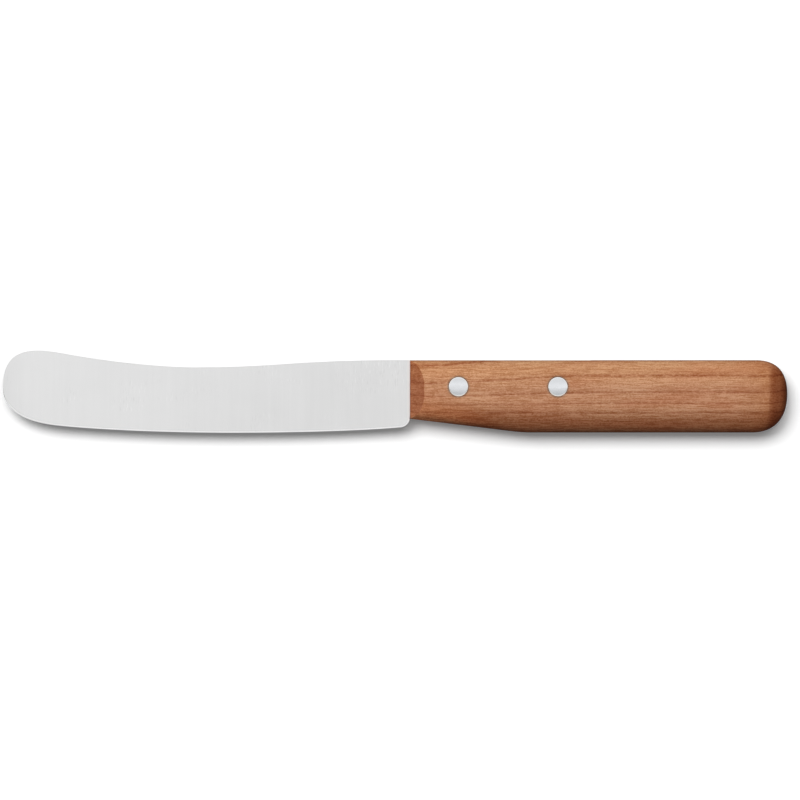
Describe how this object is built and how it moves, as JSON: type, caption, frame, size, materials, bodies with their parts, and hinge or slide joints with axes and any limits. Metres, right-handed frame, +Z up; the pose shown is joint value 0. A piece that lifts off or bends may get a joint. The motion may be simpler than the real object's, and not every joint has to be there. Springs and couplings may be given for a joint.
{
  "type": "breakfast knife",
  "caption": "Breakfast knife with a broad round-tipped steel blade for cutting rolls and spreading, let into a riveted wooden handle.",
  "frame": {"origin": "under the middle of the knife's outline, on the surface that it lies on", "axes": "+X from the blade's tip to the handle's butt, +Y from the cutting edge to the spine, +Z up through the blade's faces as the knife lies on its side"},
  "size_m": [0.2256, 0.0236, 0.0115],
  "materials": {
    "steel": "fine satin polish across the blade",
    "cherry": "sanded and oiled, grain along the handle",
    "aluminium": "ground flush with the wood"
  },
  "bodies": {
    "root": {"blade": "steel", "handle": "cherry", "front_rivet_tube": "aluminium", "front_rivet_post": "aluminium", "rear_rivet_tube": "aluminium", "rear_rivet_post": "aluminium"}
  },
  "joints": []
}
